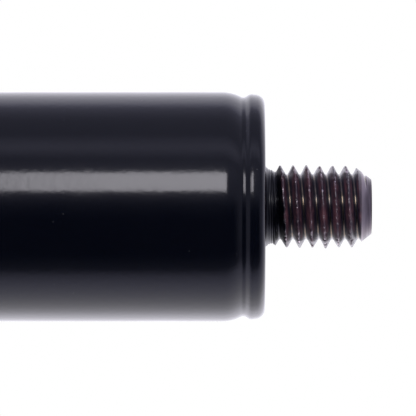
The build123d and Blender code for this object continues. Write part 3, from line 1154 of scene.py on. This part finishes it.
# Brightness of the studio round the strut, by angle from the front upwards, in degrees
studio_stops = [
    (-180, 1.20), (-141, 1.90), (-104, 1.15), (-86, 0.78), (-74, 0.46), (-66, 0.10),
    (-50, 0.018), (-12, 0.018), (0, 0.06), (6, 0.13), (13, 0.24), (38, 0.34), (49, 0.28),
    (56, 0.48), (62, 0.62), (70, 0.46), (77, 0.31), (98, 0.31), (118, 0.46),
    (129, 1.00), (154, 1.34), (180, 1.20),
]
brightest = 2.0
# The studio's two ends, dark towards the front, come in where a direction lies along X
end_dark = 0.26
end_bright = 1.05
end_front = -0.35
end_back = 0.45
end_from = 0.5
end_full = 0.88
# Where the studio is dim it is bluer than where it is bright
dim_tint = colour(1.0, 0.99, 1.34)
bright_tint = colour(1.0, 0.98, 1.08)
dim_up_to = 0.4
bright_from = 1.5


def aim(thing, target):
    """Turns a lamp or camera so that it looks at a point."""
    thing.rotation_euler = (Vector(target) - thing.location).to_track_quat("-Z", "Y").to_euler()


def make_camera():
    """Camera level with the strut, square on to it."""
    lens = bpy.data.cameras.new("camera")
    lens.sensor_width = sensor_width
    lens.lens = sensor_width * camera_distance / (view_width * MM)
    lens.clip_start = 0.01
    lens.clip_end = 50
    camera = bpy.data.objects.new("camera", lens)
    camera.location = (view_centre_x * MM, -camera_distance, view_centre_z * MM)
    aim(camera, (view_centre_x * MM, 0, view_centre_z * MM))
    bpy.context.scene.collection.objects.link(camera)
    bpy.context.scene.camera = camera


def key_light(name, left, right, radiance):
    """One stretch of the long softbox in front of the strut and above it."""
    lamp = bpy.data.lights.new(name, "AREA")
    lamp.shape = "RECTANGLE"
    lamp.size = right - left
    lamp.size_y = key_height
    lamp.energy = radiance * pi * lamp.size * lamp.size_y
    lamp.color = key_tint
    key = bpy.data.objects.new(name, lamp)
    turn = radians(key_elevation)
    middle = (left + right) / 2
    key.location = (middle, -key_distance * cos(turn), key_distance * sin(turn))
    aim(key, (middle, 0, 0))
    key.visible_camera = False
    bpy.context.scene.collection.objects.link(key)


def studio_world():
    """White sweep for the camera; for reflections, the studio's bright and dark sides."""
    world = bpy.data.worlds.new("studio")
    bpy.context.scene.world = world
    world.use_nodes = True
    tree = world.node_tree
    tree.nodes.clear()
    where = add_node(tree, "ShaderNodeTexCoord")
    split = add_node(tree, "ShaderNodeSeparateXYZ")
    feed(tree, split.inputs[0], where.outputs["Generated"])
    along, back, up = split.outputs
    front = calc(tree, "MULTIPLY", back, -1.0)
    angle = calc(tree, "ARCTAN2", up, front)
    share = calc(tree, "MULTIPLY_ADD", angle, 1 / (2 * pi), 0.5)
    ramp = add_node(tree, "ShaderNodeValToRGB")
    stops = ramp.color_ramp.elements
    for degrees, _ in studio_stops[1:-1]:
        stops.new(degrees / 360 + 0.5)
    for stop, (_, brightness) in zip(stops, studio_stops):
        stop.color = grey(brightness / brightest)
    feed(tree, ramp.inputs[0], share)
    level = calc(tree, "MULTIPLY", ramp.outputs[0], brightest)
    end_level = remap(tree, back, end_front, end_back, end_dark, end_bright)
    at_end = remap(tree, calc(tree, "ABSOLUTE", along), end_from, end_full)
    level = mix_values(tree, at_end, level, end_level)
    seen = add_node(tree, "ShaderNodeBackground")
    seen.inputs[0].default_value = grey(1.0)
    lit = add_node(tree, "ShaderNodeBackground")
    bright_share = remap(tree, level, dim_up_to, bright_from)
    feed(tree, lit.inputs[0], mix_colours(tree, bright_share, dim_tint, bright_tint))
    feed(tree, lit.inputs[1], level)
    rays = add_node(tree, "ShaderNodeLightPath")
    both = add_node(tree, "ShaderNodeMixShader")
    feed(tree, both.inputs[0], rays.outputs["Is Camera Ray"])
    feed(tree, both.inputs[1], lit.outputs[0])
    feed(tree, both.inputs[2], seen.outputs[0])
    out = add_node(tree, "ShaderNodeOutputWorld")
    feed(tree, out.inputs[0], both.outputs[0])


def floor_material():
    """Pale matt floor that fades into the white sweep at its rim."""
    material = bpy.data.materials.new("pale_floor")
    material.use_nodes = True
    tree = material.node_tree
    tree.nodes.clear()
    where = add_node(tree, "ShaderNodeTexCoord")
    split = add_node(tree, "ShaderNodeSeparateXYZ")
    feed(tree, split.inputs[0], where.outputs["Generated"])
    fade = 1.0
    for axis in (0, 1):
        off = calc(tree, "ABSOLUTE", calc(tree, "SUBTRACT", split.outputs[axis], 0.5))
        fade = calc(tree, "MULTIPLY", fade, remap(tree, off, *floor_fade))
    grain = noise_value(tree, where.outputs["Object"], scale=90.0, detail=4.0)
    dark_grain = colour(0.90, 0.92, 0.82)
    pale_grain = colour(0.94, 0.96, 0.86)
    tone = mix_colours(tree, grain, dark_grain, pale_grain)
    matt = add_node(tree, "ShaderNodeBsdfDiffuse")
    feed(tree, matt.inputs[0], tone)
    glow = add_node(tree, "ShaderNodeEmission")
    glow.inputs["Strength"].default_value = floor_glow
    lit = add_node(tree, "ShaderNodeAddShader")
    feed(tree, lit.inputs[0], matt.outputs[0])
    feed(tree, lit.inputs[1], glow.outputs[0])
    clear = add_node(tree, "ShaderNodeBsdfTransparent")
    both = add_node(tree, "ShaderNodeMixShader")
    feed(tree, both.inputs[0], fade)
    feed(tree, both.inputs[1], clear.outputs[0])
    feed(tree, both.inputs[2], lit.outputs[0])
    out = add_node(tree, "ShaderNodeOutputMaterial")
    feed(tree, out.inputs[0], both.outputs[0])
    return material


def make_floor():
    """Pale floor under the strut and behind it."""
    middle_x = (cad_low.x + cad_high.x) / 2
    middle_y = (floor_front + floor_back) / 2
    half_width = (floor_back - floor_front) / 2
    across, deep = floor_cells
    shell = bmesh.new()
    bmesh.ops.create_grid(shell, x_segments=across, y_segments=deep, size=1)
    for corner in shell.verts:
        corner.co.x = middle_x + corner.co.x * floor_half_length
        corner.co.y = middle_y + corner.co.y * half_width
        corner.co.z = -floor_drop
    mesh = bpy.data.meshes.new("floor")
    shell.to_mesh(mesh)
    shell.free()
    mesh.materials.append(floor_material())
    ground = bpy.data.objects.new("floor", mesh)
    ground.visible_glossy = False
    bpy.context.scene.collection.objects.link(ground)


make_camera()
for name, (left, right, radiance) in key_spans.items():
    key_light(name, left, right, radiance)
studio_world()
make_floor()
bpy.context.scene.view_settings.view_transform = "Standard"
